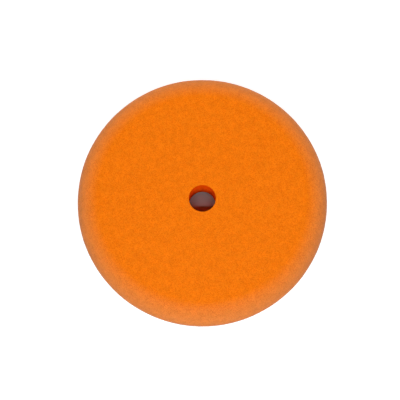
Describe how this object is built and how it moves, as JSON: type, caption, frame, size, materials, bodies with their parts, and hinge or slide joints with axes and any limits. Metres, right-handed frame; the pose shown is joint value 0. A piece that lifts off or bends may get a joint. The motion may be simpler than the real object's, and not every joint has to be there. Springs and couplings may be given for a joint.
{
  "type": "foam polishing pad",
  "caption": "Round foam polishing pad with a rounded working edge, a loop-fabric backing and a centre hole through all its layers.",
  "frame": {"origin": "centre of the loop side, on the plane that the loop pile stands on", "axes": "+Z along the pad's axis, from the loop side to the working face; the pad is round, so +X and +Y are free"},
  "size_m": [0.15, 0.15, 0.025],
  "materials": {
    "polishing_foam": "matte open-cell polyurethane foam, skived flat and ground round at the edge",
    "hot_melt_film": "translucent hot-melt film",
    "knitted_cloth": "warp-knitted nylon ground cloth",
    "loop_yarn": "brushed nylon loop pile"
  },
  "bodies": {
    "root": {"foam_body": "polishing_foam", "adhesive_film": "hot_melt_film", "backing_cloth": "knitted_cloth", "loop_pile": "loop_yarn"}
  },
  "joints": []
}
